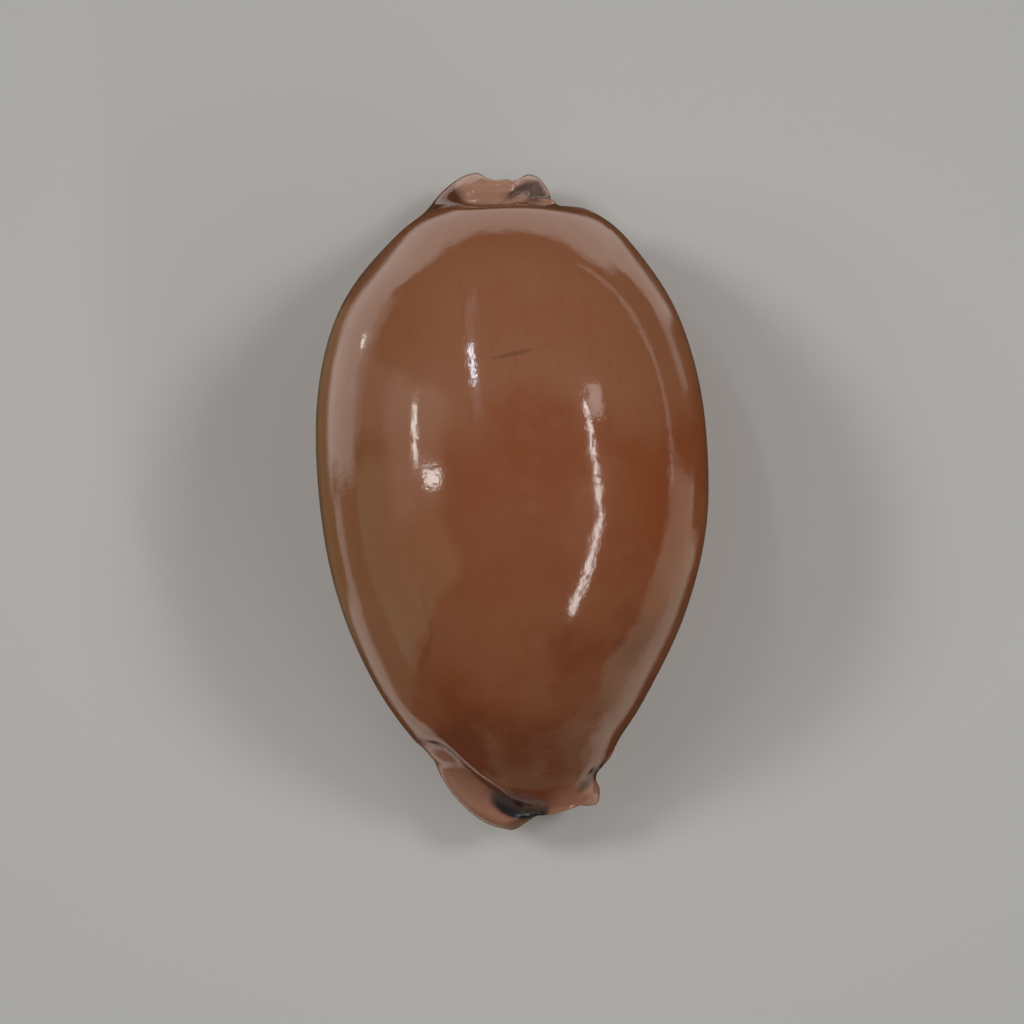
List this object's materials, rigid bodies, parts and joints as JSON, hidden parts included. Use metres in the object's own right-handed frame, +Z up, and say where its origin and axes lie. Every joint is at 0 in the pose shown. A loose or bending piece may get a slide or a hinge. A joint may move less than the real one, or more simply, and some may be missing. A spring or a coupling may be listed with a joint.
{
  "type": "cowrie shell",
  "caption": "Glossy brown cowrie sea shell, an egg-shaped dome with flanged ends and a toothed slit along its base.",
  "frame": {"origin": "under the middle of the shell's box, on the plane that its base rests on", "axes": "+Z up; +Y towards the wide rear end; the outer lip is on the -X side"},
  "size_m": [0.0271, 0.0459, 0.0216],
  "materials": {
    "shell_glaze": "glossy"
  },
  "bodies": {
    "root": {"shell": "shell_glaze"}
  },
  "joints": []
}
